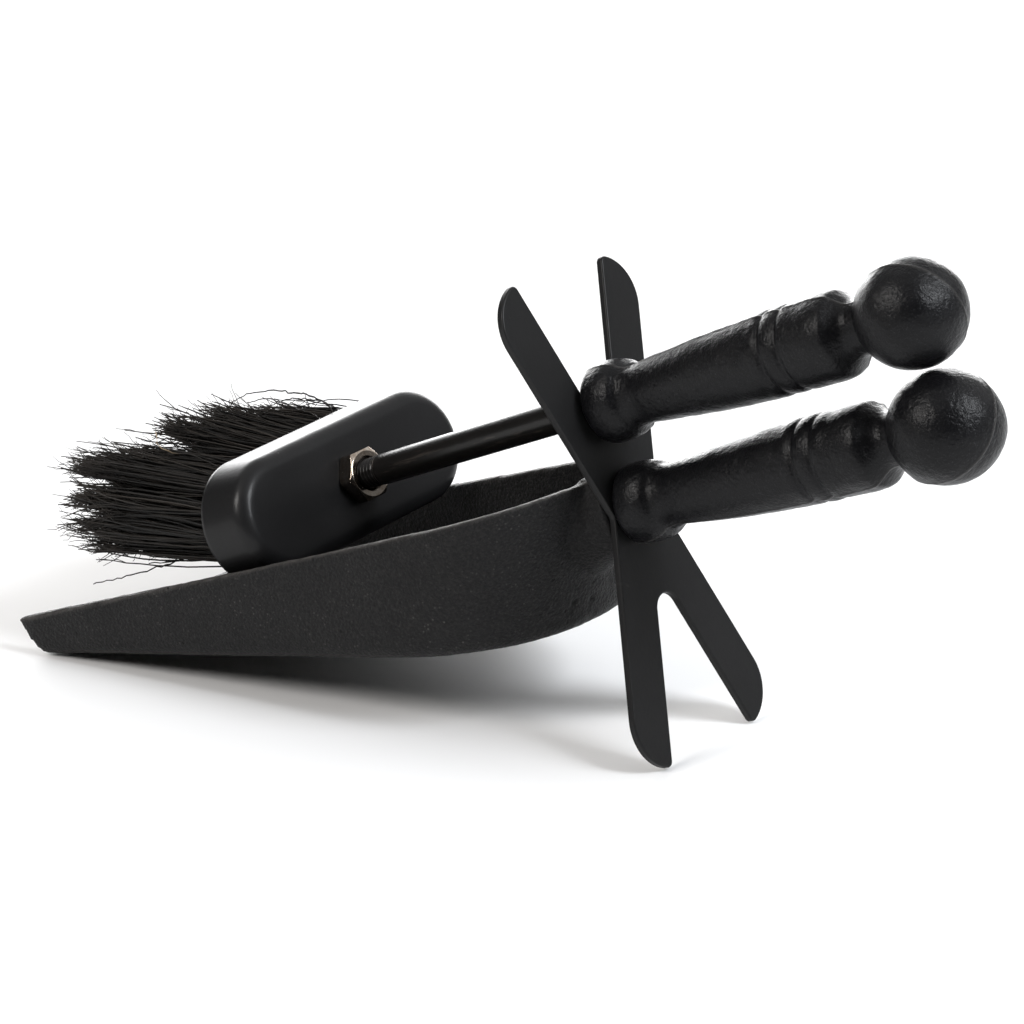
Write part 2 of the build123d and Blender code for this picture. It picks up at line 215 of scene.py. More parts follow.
# ------------------------------------------------------------------ materials
class Paint:
    """A Principled material whose variation comes from a few noise and bump nodes."""

    def __init__(self, name, roughness=0.5, metallic=0.0, specular=0.5, colour=None, coat=0.0):
        self.material = bpy.data.materials.new(name)
        self.material.use_nodes = True
        self.nodes = self.material.node_tree.nodes
        self.links = self.material.node_tree.links
        self.shader = self.nodes["Principled BSDF"]
        self.shader.inputs["Roughness"].default_value = roughness
        self.shader.inputs["Metallic"].default_value = metallic
        self.shader.inputs["Specular IOR Level"].default_value = specular
        self.shader.inputs["Coat Weight"].default_value = coat
        self.shader.inputs["Coat Roughness"].default_value = 0.2
        if colour:
            self.shader.inputs["Base Color"].default_value = (*colour, 1)
        self.at = self.nodes.new("ShaderNodeTexCoord").outputs["Object"]
        self.last_bump = None

    def node(self, kind, inputs=None, **settings):
        """A new node; an input is a number or another node's output."""
        made = self.nodes.new(kind)
        for key, value in settings.items():
            setattr(made, key, value)
        for key, value in (inputs or {}).items():
            if isinstance(value, bpy.types.NodeSocket):
                self.links.new(value, made.inputs[key])
            else:
                made.inputs[key].default_value = value
        return made

    def stretched(self, stretch, turn=0.0):
        """Coordinates drawn out by a different amount along each axis of the tool frame."""
        made = self.node("ShaderNodeMapping", {
            "Vector": self.at, "Scale": stretch, "Rotation": (turn, TILT, 0)}, vector_type="TEXTURE")
        return made.outputs["Vector"]

    def noise(self, size, detail=2.0, rough=0.5, at=None):
        """Noise from 0 to 1 with features about that many mm across."""
        return self.node("ShaderNodeTexNoise", {
            "Vector": at or self.at, "Scale": 1 / (size * MM), "Detail": detail,
            "Roughness": rough}).outputs["Fac"]

    def cells(self, size, at=None):
        """Distance to the nearest of scattered points about that many mm apart."""
        return self.node("ShaderNodeTexVoronoi", {
            "Vector": at or self.at, "Scale": 1 / (size * MM)}).outputs["Distance"]

    def span(self, value, low, high, to_low=0.0, to_high=1.0):
        """Remap a value, clamped at both ends."""
        return self.node("ShaderNodeMapRange", {
            "Value": value, "From Min": low, "From Max": high,
            "To Min": to_low, "To Max": to_high}).outputs["Result"]

    def maths(self, how, a, b):
        """One arithmetic step on two values."""
        return self.node("ShaderNodeMath", {0: a, 1: b}, operation=how).outputs[0]

    def blend(self, share, a, b):
        """Colour a, turning into colour b as the share grows."""
        return self.node("ShaderNodeMix", {0: share, 6: a, 7: b}, data_type="RGBA").outputs[2]

    def stored(self, name):
        """A number that store() kept on the mesh."""
        return self.node("ShaderNodeAttribute", attribute_name=name).outputs["Fac"]

    def colour(self, share, a, b):
        """Blend two colours into the shader's base colour."""
        a, b = [(*c, 1) if isinstance(c, tuple) else c for c in (a, b)]
        self.links.new(self.blend(share, a, b), self.shader.inputs["Base Color"])

    def drive(self, socket, value):
        """Let a varying value set one of the shader's sockets."""
        self.links.new(value, self.shader.inputs[socket])

    def bump(self, height, depth_mm, strength=1.0):
        """Add a bump of that depth; later calls stack on earlier ones."""
        inputs = {"Height": height, "Distance": depth_mm * MM, "Strength": strength}
        if self.last_bump:
            inputs["Normal"] = self.last_bump
        self.last_bump = self.node("ShaderNodeBump", inputs).outputs["Normal"]
        self.links.new(self.last_bump, self.shader.inputs["Normal"])
        self.links.new(self.last_bump, self.shader.inputs["Coat Normal"])


def cast_pan_paint():
    """Rough black paint over a sand casting: grain, bright flecks, dark pits, and a lighter rim top: worn
    paint and a painted highlight.
    """
    m = Paint("pan_cast_paint", specular=0.15, coat=0.06)
    patch = m.noise(22, 3)
    grain = m.noise(0.95, 4, 0.7)
    sand = m.cells(1.15)
    pit = m.span(m.cells(9.5), 0.03, 0.075)
    tint = m.blend(patch, (0.0045, 0.0045, 0.0050, 1), (0.0078, 0.0076, 0.0080, 1))
    tint = m.blend(m.span(grain, 0.44, 0.74), tint, (0.018, 0.0175, 0.017, 1))
    # lighter rim top: worn paint and a painted highlight
    tint = m.blend(m.stored("wear_and_sheen"), tint, (0.075, 0.070, 0.066, 1))
    fleck = m.maths("MULTIPLY", m.span(m.cells(2.0), 0.10, 0.20, 1.0, 0.0), m.span(patch, 0.35, 0.65))
    tint = m.blend(m.maths("MULTIPLY", fleck, 0.5), tint, (0.09, 0.085, 0.08, 1))
    m.colour(pit, (0.003, 0.003, 0.003), tint)
    m.drive("Roughness", m.span(m.maths("ADD", grain, patch), 0.6, 1.4, 0.60, 0.42))
    m.bump(grain, 0.50)
    m.bump(m.span(sand, 0.0, 0.7), 0.16)
    m.bump(pit, 0.35)
    m.bump(m.noise(4.0, 2), 0.30, 0.6)
    return m.material


def cast_handle_paint():
    """Satin black paint over a fine pebbled casting, lighter along the mould's seam: rubbed paint and a
    painted highlight.
    """
    m = Paint("handle_cast_paint", specular=0.12, coat=0.10)
    patch = m.noise(14, 3)
    pebble = m.noise(1.1, 3, 0.6)
    fine = m.noise(0.45, 2, 0.6)
    tint = m.blend(patch, (0.0026, 0.0026, 0.0031, 1), (0.0050, 0.0050, 0.0058, 1))
    # lighter along the seam ridge: rubbed paint and a painted highlight
    tint = m.blend(m.stored("seam_and_sheen"), tint, (0.045, 0.043, 0.041, 1))
    m.colour(m.span(fine, 0.58, 0.8), tint, (0.026, 0.026, 0.028))
    m.drive("Roughness", m.span(m.maths("ADD", pebble, patch), 0.6, 1.4, 0.26, 0.40))
    m.bump(pebble, 0.26)
    m.bump(fine, 0.09)
    m.bump(m.noise(3.4, 2), 0.12, 0.7)
    return m.material


def sheet_paint(name, low, high, rough, streak_turn, coat):
    """Even factory paint on sheet steel: faint orange peel, patches and a few scuffs."""
    m = Paint(name, specular=0.15, coat=coat)
    patch = m.noise(30, 3)
    peel = m.noise(1.1, 2)
    scratch = m.noise(5.0, 4, 0.7, m.stretched((8.0, 0.45, 1.0), streak_turn))
    scuff = m.maths("MULTIPLY", m.span(scratch, 0.62, 0.72), m.span(m.noise(16, 2), 0.55, 0.68))
    speck = m.span(m.cells(7.0), 0.018, 0.04, 1.0, 0.0)
    tint = m.blend(patch, (*low, 1), (*high, 1))
    tint = m.blend(m.maths("MULTIPLY", scuff, 0.22), tint, (0.045, 0.044, 0.043, 1))
    m.colour(speck, tint, (0.004, 0.004, 0.004))
    m.drive("Roughness", m.span(m.maths("ADD", peel, m.maths("ADD", patch, scuff)),
                                0.7, 1.7, rough - 0.05, rough + 0.08))
    m.bump(peel, 0.028)
    m.bump(speck, -0.05)
    m.bump(m.noise(9.0, 1), 0.10, 0.5)
    return m.material


def rod_paint():
    """Smooth black paint on bar, with a few lengthwise rubs."""
    m = Paint("rod_black", specular=0.2, coat=0.2)
    patch = m.noise(12, 3, 0.6, m.stretched((4, 1, 1)))
    rub = m.span(m.noise(3.0, 4, 0.7, m.stretched((7, 0.6, 0.6))), 0.60, 0.70)
    tint = m.blend(patch, (0.0045, 0.004, 0.004, 1), (0.0090, 0.0080, 0.0072, 1))
    m.colour(m.maths("MULTIPLY", rub, 0.4), tint, (0.06, 0.05, 0.042))
    m.drive("Roughness", m.span(patch, 0.3, 0.7, 0.30, 0.42))
    m.bump(m.noise(1.0, 3), 0.02)
    m.bump(rub, 0.02)
    return m.material


def nickel():
    """Bright nickel with faint brown patches: a painted brown reflection."""
    m = Paint("nut_nickel", metallic=1.0)
    brown_reflection = m.noise(2.6, 3)
    # brown patches: painted reflection
    m.colour(m.span(brown_reflection, 0.35, 0.7), (0.56, 0.50, 0.44), (0.34, 0.27, 0.21))
    m.drive("Roughness", m.span(m.noise(0.9, 3), 0.3, 0.7, 0.08, 0.18))
    m.bump(m.noise(0.7, 3, 0.6), 0.012)
    m.bump(m.noise(3.0, 1), 0.05, 0.6)
    return m.material


def zinc():
    """Dull zinc plate with a soft spangle."""
    m = Paint("zinc_plate", metallic=1.0)
    spangle = m.noise(1.8, 3)
    m.colour(spangle, (0.42, 0.42, 0.41), (0.58, 0.57, 0.54))
    m.drive("Roughness", m.span(m.noise(0.8, 3), 0.3, 0.7, 0.32, 0.52))
    m.bump(m.noise(0.6, 3), 0.03)
    return m.material


def wood():
    """Plain beech, its grain across the brush."""
    m = Paint("core_beech", specular=0.3)
    across = m.stretched((1, 10, 1))
    grain = m.noise(1.6, 4, 0.6, across)
    pore = m.span(m.noise(0.5, 2, 0.5, across), 0.62, 0.72)
    tint = m.blend(grain, (0.16, 0.095, 0.05, 1), (0.30, 0.19, 0.105, 1))
    m.colour(pore, tint, (0.06, 0.035, 0.02))
    m.drive("Roughness", m.span(grain, 0.3, 0.7, 0.62, 0.8))
    m.bump(grain, 0.10)
    m.bump(pore, -0.12)
    return m.material


def fibre():
    """Black plant fibre: each one its own tone, the lighter ones a painted sheen, browner at its tip."""
    m = Paint("bristle_fibre", specular=0.3)
    streak = m.noise(1.2, 3, 0.6, m.stretched((8, 1, 1)))
    tone_and_sheen = m.stored("tone_and_sheen")
    # per-fibre tone: random, and the lighter fibres are a painted sheen
    tint = m.blend(tone_and_sheen, (0.0025, 0.0022, 0.0020, 1), (0.032, 0.027, 0.023, 1))
    tint = m.blend(m.stored("tip"), tint, (0.030, 0.023, 0.018, 1))
    tint = m.blend(m.stored("straw"), tint, (0.42, 0.32, 0.21, 1))
    m.colour(m.span(streak, 0.55, 0.8, 0.0, 0.5), tint, (0.035, 0.030, 0.026))
    m.drive("Roughness", m.span(streak, 0.3, 0.7, 0.42, 0.62))
    m.bump(streak, 0.03)
    return m.material


# ------------------------------------------------------------------ cast handles
# Turned rings on the grip, each a bell curve along x: its middle, half width and height.
GRIP_RINGS = ((69.5, 0.8, -0.55), (76.0, 0.8, -0.50), (72.8, 1.8, 0.24),
              (66.6, 1.5, 0.14), (79.0, 1.5, 0.10))


def handle_profile(ball_r):
    """(x, r) rows from inside the bore to the ball's pole, and how far each is outer skin."""
    edge = COLLAR_EDGE
    outline = [
        (0.0, COLLAR_R - edge * 0.55), (edge * 0.35, COLLAR_R - edge * 0.12), (edge, COLLAR_R),
        (COLLAR_L - edge * 1.1, COLLAR_R - 0.1), (COLLAR_L - edge * 0.3, COLLAR_R - edge * 0.25),
        (COLLAR_L + 0.6, COLLAR_R - edge * 0.62), (17.0, NECK_R), (22.0, NECK_R + 0.5),
        (34.0, NECK_R + 1.65), (48.0, NECK_R + 2.75), (60.0, NECK_R + 3.25), (66.0, NECK_R + 3.35),
        (82.0, GRIP_R - 0.1), (88.0, GRIP_R), (91.5, GRIP_R - 0.6), (GRIP_END, GRIP_R - 2.4),
        (GRIP_END + 2.2, TIP_NECK_R + 0.6), (GRIP_END + 3.8, TIP_NECK_R),
    ]
    curve = smooth_curve(outline, 0.4)
    start = math.acos(-math.sqrt(1 - (TIP_NECK_R / ball_r) ** 2))
    around = np.linspace(start, 0.012, 90)
    ball = np.stack([BALL_X + ball_r * np.cos(around), ball_r * np.sin(around)], axis=1)
    outer = even(np.vstack([curve, ball]), 0.46)
    bore = even([(HANDLE_BORE, 0.05), (HANDLE_BORE, THREAD_R + 0.05), (0.7, THREAD_R + 0.05),
                 (0.0, THREAD_R + 0.7), (0.0, COLLAR_R - edge * 0.55 - 0.4)], 1.1)
    profile = np.vstack([bore, outer])
    skin = np.r_[np.zeros(len(bore)), np.clip(np.arange(len(outer)) / 4, 0, 1)]
    for at, width, height in GRIP_RINGS:
        profile[:, 1] += height * skin * np.exp(-((profile[:, 0] - at) / width) ** 2)
    return profile, skin


def outward(profile, angle):
    """Each point's outward direction, square to the profile's own slope."""
    slope = np.gradient(profile, axis=0)
    slope /= np.linalg.norm(slope, axis=1)[:, None] + 1e-9
    out = np.zeros((len(profile), len(angle), 3))
    out[:, :, 1], out[:, :, 2] = np.cos(angle), np.sin(angle)
    out *= np.abs(slope[:, 0, None, None])
    out[:, :, 0] = -slope[:, 1, None]
    return out / (np.linalg.norm(out, axis=2)[:, :, None] + 1e-9)


def handle(name, ball_r, shift, part_deg, seed, place, body, node, material):
    """Two-part casting: collar, neck, swelling grip with two ring grooves, shoulder, ball.

    part_deg is the direction of the mould's parting plane, from the across axis.
    """
    profile, skin = handle_profile(ball_r)
    rings, angle = polar(profile, HANDLE_COLS)
    out = outward(profile, angle)
    # how far each point is past the parting plane, on the far half of the mould
    facing = math.radians(part_deg)
    off = rings[:, :, 1] * math.cos(facing) + rings[:, :, 2] * math.sin(facing)
    far = np.clip(off / np.maximum(profile[:, 1], 1.0)[:, None], 0, 1)
    flat = rings.reshape(-1, 3)
    rough = (0.20 * lumps(flat, 9.0, seed) + 0.05 * lumps(flat, 3.3, seed + 1)
             + 0.045 * lumps(flat, 1.4, seed + 2)).reshape(off.shape) - 0.08
    wander = 0.25 * lumps(flat, 18.0, seed + 3).reshape(off.shape)
    seam_and_sheen = np.exp(-((off + wander) / SEAM_W) ** 2)
    push = (rough - MOULD_STEP * (1 - np.exp(-far / 0.16)) + SEAM_H * seam_and_sheen) * skin[:, None]
    rings = rings + out * push[:, :, None]
    rings[:, :, 0] += shift + MOULD_SHIFT * (1 - np.exp(-far / 0.2)) * skin[:, None]
    verts, quads = lattice(rings)
    tip, end = len(verts), len(verts) - HANDLE_COLS
    verts = np.vstack([verts, [rings[-1].mean(0), [shift + HANDLE_BORE, 0, 0]]])
    around = [(k, (k + 1) % HANDLE_COLS) for k in range(HANDLE_COLS)]
    faces = quads.tolist() + [[end + k, end + after, tip] for k, after in around]
    faces += [[after, k, tip + 1] for k, after in around]
    made = piece(name, verts, faces, place, material, body, [node])
    # the seam band, kept for the paint, which lightens it as rubbed paint and a painted highlight
    store(made, "seam_and_sheen", np.r_[(seam_and_sheen * skin[:, None]).ravel() * 0.55, 0, 0])


# ------------------------------------------------------------------ pan
# Large pits in the pan's back corner: each one's place, width and depth.
PAN_PITS = (((-24, -11, -23), 1.0, 0.85), ((-26, -3, -24), 0.8, 0.6),
            ((-27, -9, -27), 0.65, 0.5), ((-28, -13, -28), 0.65, 0.5))
# Small pits are scattered in a box there: its two corners, their number, width and depth.
PIT_LOW, PIT_HIGH, SMALL_PITS, SMALL_PIT_W, SMALL_PIT_DEPTH = (-31, -22, -31), (-18, 12, -17), 26, 0.8, 0.24


def remeshed(node, name):
    """A CAD node's body as a new mesh in the tool frame, evenly meshed, its edges softened."""
    mesh = frame["nodes"][node].data.copy()
    mesh.name = name
    mesh.transform(TOOL.inverted())
    made = bpy.data.objects.new(name, mesh)
    bpy.context.scene.collection.objects.link(made)
    merge = made.modifiers.new("merge", "WELD")
    merge.merge_threshold = 0.00001
    voxels = made.modifiers.new("voxels", "REMESH")
    voxels.mode = "VOXEL"
    voxels.voxel_size = PAN_VOXEL * MM
    soften = made.modifiers.new("soften", "SMOOTH")
    soften.factor, soften.iterations = PAN_SOFTENING, PAN_SOFTENINGS
    graph = bpy.context.evaluated_depsgraph_get()
    mesh = bpy.data.meshes.new_from_object(made.evaluated_get(graph))
    bpy.data.objects.remove(made)
    return mesh


def pan_skin(at):
    """How far the cast skin stands out at each point: sand lumps, less the pits."""
    push = 0.16 * lumps(at, 16.0, 40) + 0.07 * lumps(at, 5.0, 41) + 0.055 * lumps(at, 2.4, 42)
    small = np.random.default_rng(43).uniform(PIT_LOW, PIT_HIGH, (SMALL_PITS, 3))
    pits = PAN_PITS + tuple((spot, SMALL_PIT_W, SMALL_PIT_DEPTH) for spot in small)
    for spot, width, depth in pits:
        away = ((at - spot)[:, 1:] ** 2).sum(1)
        push -= depth * np.exp(-away / width ** 2) * (at[:, 0] > PIT_FRONT_X)
    return push


def cast_pan(material):
    """The pan's casting: the CAD body remeshed evenly, its edges softened, its skin roughened."""
    mesh = remeshed("shovel_pan", "cast_pan")
    count = len(mesh.vertices)
    at, normal = np.zeros(count * 3), np.zeros(count * 3)
    mesh.vertices.foreach_get("co", at)
    mesh.vertices.foreach_get("normal", normal)
    at, normal = at.reshape(-1, 3) / MM, normal.reshape(-1, 3)
    at += normal * pan_skin(at)[:, None]
    # the lip is drawn out along the floor: 0.6 mm for what the remesh takes off, and 1.4 mm
    # past the CAD's
    level = np.array(tilt.to_3x3().inverted() @ Vector((1, 0, 0)))
    at -= LIP_REACH * np.clip((LIP_START_X - at[:, 0]) / LIP_RUN, 0, 1)[:, None] * level
    below_rim = RIM_Z + RIM_SLOPE * at[:, 0] - at[:, 2]
    # lighter band on the rim's top, kept for the paint: worn paint and a painted highlight
    wear_and_sheen = np.exp(-(np.abs(below_rim) / 0.55) ** 2) * (0.7 + 0.5 * lumps(at, 3.0, 44))
    mesh.vertices.foreach_set("co", (at * MM).ravel())
    mesh.transform(TOOL)
    mesh.update()
    mesh.shade_smooth()
    made = bpy.data.objects.new("cast_pan", mesh)
    bpy.context.scene.collection.objects.link(made)
    mesh.materials.clear()
    mesh.materials.append(material)
    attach(made, "shovel")
    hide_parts("shovel_pan")
    store(made, "wear_and_sheen", np.clip(wear_and_sheen, 0, 1))


# ------------------------------------------------------------------ rod, nut, cap
def threaded(x, angle):
    """Radius of a 60 degree thread with rounded crests at x and angle."""
    turn = (x / THREAD_PITCH - angle / TURN) % 1.0
    tooth = np.clip(np.abs(turn - 0.5) * 2, 0.12, 0.90)
    return THREAD_R - THREAD_H + THREAD_H * tooth


def shaft(material):
    """Black rod with a helical thread at the brush end."""
    top = CAP_X + NUT_T + THREAD_SHOWN
    end = CAP_X - CAP_WALL - WASHER_T - INNER_NUT_T - THREAD_SPARE
    xs = np.r_[np.arange(end, top + 1.2, 0.125), np.linspace(top + 1.6, COLLAR_GAP + 16.0, 110)]
    rings, angle = polar(np.stack([xs, np.full(len(xs), ROD_R)], axis=1), ROD_COLS)
    x = rings[:, :, 0]
    plain = np.clip((x - (top - 0.9)) / 1.6, 0, 1)
    radius = threaded(x, angle[None, :]) * (1 - plain) + ROD_R * plain
    radius -= 0.9 * (1 - np.clip((x - end) / 1.2, 0.0, 1.0))
    radius -= 0.12 * np.clip((x - COLLAR_GAP) / 0.5, 0, 1)
    radius += 0.02 * lumps(rings.reshape(-1, 3), 3.0, 60).reshape(x.shape) * plain
    rings[:, :, 1], rings[:, :, 2] = radius * np.cos(angle), radius * np.sin(angle)
    verts, quads = lattice(rings)
    first, last = range(ROD_COLS), range(len(verts) - ROD_COLS, len(verts))
    faces = quads.tolist() + [list(first)[::-1], list(last)]
    piece("rod", verts, faces, BRUSH, material, "brush", ["brush_shaft"], 50)


def soft_min(a, b, k):
    """The lesser of a and b, with their meeting rounded over a width k."""
    h = np.clip(0.5 + 0.5 * (b - a) / k, 0, 1)
    return b * (1 - h) + a * h - k * h * (1 - h)


def locknut(material):
    """Plated hexagon nut with both ends chamfered and a countersunk thread."""
    angle = np.arange(NUT_COLS) / NUT_COLS * TURN
    face = NUT_AF / 2
    local = angle % (TURN / 6) - TURN / 12
    corner = face / math.cos(TURN / 12)
    flats = soft_min(face / np.cos(local), np.full(NUT_COLS, corner - 0.12), 0.25)
    low = face - 0.25
    slant = math.tan(math.radians(NUT_CHAMFER_DEG))
    chamfer = (corner + 0.2 - low) * slant
    sides = []
    for x in np.linspace(0, NUT_T, 49):
        from_end = min(x, NUT_T - x)
        cone = np.full(NUT_COLS, low + from_end / slant)
        sides.append((x, soft_min(flats, cone, 0.22) if from_end < chamfer + 1 else flats))
    end_face = (THREAD_R + 1.0, 6.6, low - 0.35)
    bore = ((NUT_T - 0.45, THREAD_R + 0.55), (NUT_T - 1.0, THREAD_R + 0.1),
            (1.0, THREAD_R + 0.1), (0.45, THREAD_R + 0.55))
    stack = [(0.0, r) for r in end_face] + sides + [(NUT_T, r) for r in end_face[::-1]] + list(bore)
    rings = np.array([np.stack([np.full(NUT_COLS, x + CAP_X), r * np.cos(angle), r * np.sin(angle)],
                               axis=1) for x, r in stack])
    verts, quads = lattice(rings, wrap=True)
    piece("locknut", verts, quads, BRUSH, material, "brush", ["brush_locknut"], 38)


def stadium(half_l, half_t, x, count):
    """Closed ring of points on a stadium across y, evenly spaced."""
    straight = half_l - half_t
    arc = np.linspace(-math.pi / 2, math.pi / 2, 60)
    path = np.vstack([
        np.stack([straight + half_t * np.cos(arc), half_t * np.sin(arc)], axis=1),
        np.stack([-straight - half_t * np.cos(arc), -half_t * np.sin(arc)], axis=1)])
    path = np.vstack([path, path[:1]])
    run = np.r_[0, np.cumsum(np.linalg.norm(np.diff(path, axis=0), axis=1))]
    at = np.linspace(0, run[-1], count, endpoint=False)
    return np.stack([np.full(count, x), np.interp(at, run, path[:, 0]),
                     np.interp(at, run, path[:, 1])], axis=1)


# How far out the face's inner rings are, from the rod's hole to the face's rim.
FACE_SHARES = (0.0, 0.12, 0.25, 0.4, 0.55, 0.7, 0.85)


def skirt(inset, x):
    """Ring of the flared skirt at x, that far inside its outer surface."""
    grow = CAP_FLARE / CAP_DEPTH * (CAP_X - x) - inset
    return stadium(CAP_HALF_L + grow, CAP_HALF_T + grow, x, CAP_COLS)


def cap_surface(inset):
    """Rings of one side of the sheet, from the rod's hole over the face and down the skirt."""
    face_x, edge = CAP_X - inset, CAP_EDGE_R - inset
    mouth_x = CAP_X - CAP_DEPTH + MOUTH_ROUND
    side = [skirt(edge * (1 - math.sin(a)) + inset, face_x - edge * (1 - math.cos(a)))
            for a in np.linspace(0, math.pi / 2, 10)]
    side += [skirt(inset, x) for x in np.linspace(face_x - edge, mouth_x, 14)[1:]]
    rim = side[0]
    turn = np.arctan2(rim[:, 2], rim[:, 1])
    hole = np.stack([np.full(CAP_COLS, face_x), CAP_HOLE_R * np.cos(turn), CAP_HOLE_R * np.sin(turn)],
                    axis=1)
    return [hole * (1 - share) + rim * share for share in FACE_SHARES] + side


def dented(flat):
    """The cap's points with shallow dents, square to the face and none round the nut."""
    dents = 0.10 * lumps(flat, 26.0, 70) + 0.03 * lumps(flat, 8.0, 71)
    away = flat - flat.mean(0)
    away[:, 0] *= 0.3
    away /= np.linalg.norm(away, axis=1)[:, None]
    on_face = np.abs(flat[:, 0] - CAP_X + CAP_WALL / 2) < CAP_WALL
    shift = np.where(on_face[:, None], np.array([[1.0, 0, 0]]), away) * dents[:, None]
    shift[on_face, 1:] = 0
    past_nut = np.clip((np.hypot(flat[:, 1], flat[:, 2]) - 9) / 6, 0, 1)
    return flat + shift * past_nut[:, None]


def pressed_cap(material):
    """Deep-drawn steel cap: flat face, rolled edge, flared skirt with a rounded mouth."""
    lip = skirt(CAP_WALL / 2, CAP_X - CAP_DEPTH)
    rings = np.array(cap_surface(0.0) + [lip] + cap_surface(CAP_WALL)[::-1])
    verts, quads = lattice(dented(rings.reshape(-1, 3)).reshape(rings.shape), wrap=True)
    piece("pressed_cap", verts, quads, BRUSH, material, "brush", ["brush_ferrule"], 60)


# ------------------------------------------------------------------ bristles
def tuft_spots(row):
    """(y, z) of the row's tufts, where they fit in the cap's stadium."""
    limit_l, limit_t = CAP_HALF_L - CAP_WALL - TUFT_INSET, CAP_HALF_T - CAP_WALL - TUFT_INSET
    z = (row - 1.5) * ROW_PITCH
    shift = COLUMN_PITCH / 4 * (-1) ** row
    spots = []
    for column in range(COLUMNS + 2):
        y = (column - (COLUMNS + 1) / 2) * COLUMN_PITCH + shift
        over = max(abs(y) - (limit_l - limit_t), 0)
        if math.hypot(over, z) <= limit_t:
            spots.append((y, z))
    return spots


def tubes(paths, radii):
    """Vertices, quads and end caps of many thin tubes; paths is (fibres, points, 3)."""
    fibres, points = paths.shape[:2]
    along = np.gradient(paths, axis=1)
    along /= np.linalg.norm(along, axis=2)[:, :, None] + 1e-9
    side = np.cross(along, [0.13, 0.31, 0.94])
    side /= np.linalg.norm(side, axis=2)[:, :, None] + 1e-9
    other = np.cross(along, side)
    turn = np.arange(SIDES) / SIDES * TURN
    rings = (paths[:, :, None, :]
             + radii[:, :, None, None] * (side[:, :, None, :] * np.cos(turn)[None, None, :, None]
                                          + other[:, :, None, :] * np.sin(turn)[None, None, :, None]))
    verts = rings.reshape(-1, 3)
    f, i, j = np.meshgrid(np.arange(fibres), np.arange(points - 1), np.arange(SIDES), indexing="ij")
    base = (f * points + i) * SIDES
    nxt = (j + 1) % SIDES
    quads = np.stack([base + j, base + nxt, base + SIDES + nxt, base + SIDES + j], axis=-1)
    first = np.arange(fibres)[:, None] * points * SIDES
    caps = [first + np.arange(SIDES)[::-1], first + (points - 1) * SIDES + np.arange(SIDES)]
    return verts, quads.reshape(-1, 4), np.vstack(caps)


def tuft_tip(y, z):
    """Where a tuft's middle ends: two clumps, each swept up and falling off along y."""
    far = y > PART_Y
    fall = 1.5 + 0.3 * (y - PART_Y) if far else 0.2 * (y + CAP_HALF_L - 5.0)
    rise = TUFT_RISE - fall
    fan = FAN_Z if z > 0 else 0.0
    return y * (1 + FAN_Y) + (PART_GAP if far else -PART_GAP), z * (1 + fan) + rise


def tuft_fibres(rng, y, z):
    """Roots and tips of one tuft's fibres, whose ends gather into a few pointed locks."""
    count = FIBRES_PER_TUFT
    turn, reach = rng.uniform(0, TURN, count), TUFT_ROOT_R * np.sqrt(rng.uniform(0, 1, count))
    across = np.stack([reach * np.cos(turn), reach * np.sin(turn)], axis=1)
    root = np.column_stack([np.full(count, CORE_X + 3.0), y + across[:, 0], z + across[:, 1]])
    lock = rng.integers(0, LOCKS_PER_TUFT, count)
    lock_at = rng.normal(0, (2.4, 2.0), (LOCKS_PER_TUFT, 2))
    # the far clump is even; the near clump's lower fibres are shorter
    shorter = 4.0 if y > PART_Y else 0.27 * (13.0 - z)
    lock_long = TUFT_L - shorter + rng.normal(0, 2.6, LOCKS_PER_TUFT) - 2.0 * math.cos(0.9 * y)
    loose = rng.uniform(0, 1, count) < LOOSE_SHARE
    spread = np.where(loose[:, None], rng.normal(0, 2.3, (count, 2)),
                      lock_at[lock] + rng.normal(0, 0.65, (count, 2)))
    long = lock_long[lock] + rng.normal(0, 2.4, count) - rng.exponential(2.6, count)
    tip = np.column_stack([CORE_X - long, np.array(tuft_tip(y, z)) + across * 0.9 + spread])
    return root, tip


def frayed(rng, paths, thick, tone_and_sheen):
    """Fine branches that leave the last part of most fibres."""
    parts = []
    last = paths.shape[1] - 1
    # the share of the fibres that branch, and the point where they do
    for share, start in ((0.9, last - 2), (0.75, last - 1), (0.45, last - 3)):
        chosen = rng.uniform(0, 1, len(paths)) < share
        begin = paths[chosen, start]
        ahead = paths[chosen, last] - begin
        ahead /= np.linalg.norm(ahead, axis=1)[:, None]
        reach = rng.uniform(3, 9, len(begin))
        aside = rng.normal(0, 0.34, begin.shape)
        s = np.linspace(0, 1, 5)
        twig = begin[:, None, :] + (ahead + aside)[:, None, :] * reach[:, None, None] * s[None, :, None]
        twig += rng.normal(0, 0.30, twig.shape) * s[None, :, None]
        fine = thick[chosen][:, None] * 0.62 * (1 - 0.5 * s)[None, :]
        parts.append((twig, fine, tone_and_sheen[chosen], 0.8 + 0.2 * s, 0.0))
    return parts


def stray(rng, way, thick, straw=0.0):
    """One single fibre along its own way, a little kinked."""
    path = even(smooth_curve(way, 2.0), 2.2)
    path += rng.normal(0, 0.22, path.shape)
    t = np.linspace(0, 1, len(path))
    return path[None], thick * (1 - 0.5 * t)[None], np.array([0.3]), t, straw * np.clip(t * 4 - 2.6, 0, 1)


